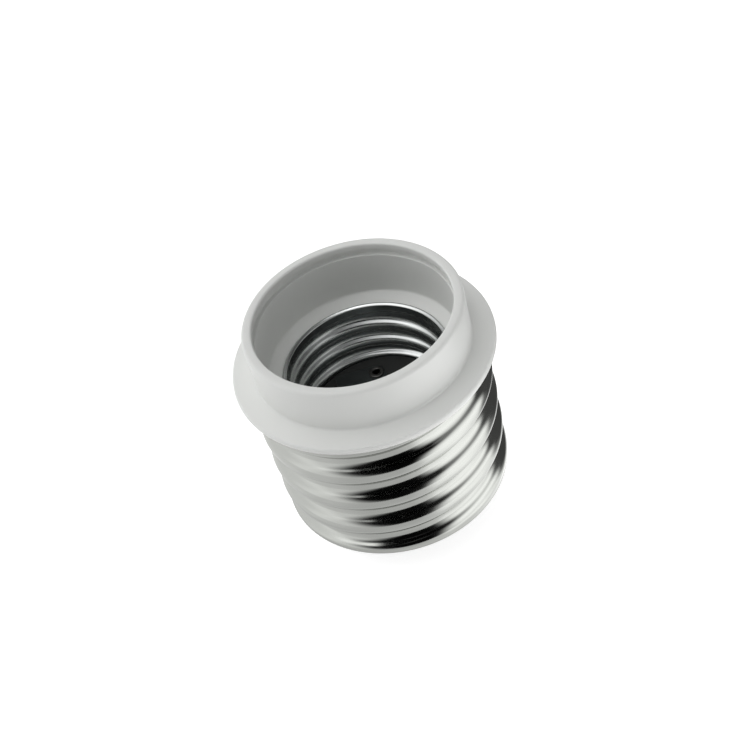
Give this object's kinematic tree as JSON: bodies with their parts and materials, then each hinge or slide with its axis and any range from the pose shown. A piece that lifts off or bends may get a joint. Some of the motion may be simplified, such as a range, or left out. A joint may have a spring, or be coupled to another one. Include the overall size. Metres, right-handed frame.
{
  "type": "lamp socket adapter",
  "caption": "Screw adapter that lets a lamp with an E27 cap go into an E40 holder: white collar, rolled nickel-plated screw shells and a sprung centre contact.",
  "frame": {"origin": "middle of the tip contact's flat face, which is the lowest point of the adapter", "axes": "+Z along the axis, out of the socket's mouth; -Y is the side that faces the viewer in the picture; +X is where both threads have a crest at their stated heights"},
  "size_m": [0.0422, 0.0422, 0.0456],
  "materials": {
    "white_plastic": "glossy",
    "nickel_plate": "polished",
    "dark_board": "matte",
    "dark_spring": "dull",
    "bright_contact": "satin",
    "brass_strip": "satin",
    "black_plastic": "satin",
    "solder": "satin"
  },
  "bodies": {
    "adapter": {"collar": "white_plastic", "outer_screw_shell": "nickel_plate", "inner_screw_shell": "nickel_plate", "floor_disc": "dark_board", "contact_tongue": "dark_spring", "eyelets": "bright_contact", "centre_strap": "brass_strip", "side_strap": "brass_strip", "base_insulator": "black_plastic", "tip_contact": "nickel_plate", "tip_solder": "solder"},
    "contact": {"contact_button": "bright_contact"}
  },
  "joints": [
    {"name": "contact_press", "type": "slide", "parent": "adapter", "child": "contact", "axis": [0, 0, -1], "range_m": [0, 0.0012], "stiffness_N_per_m": 4000, "deforming": ["contact_tongue"]}
  ]
}
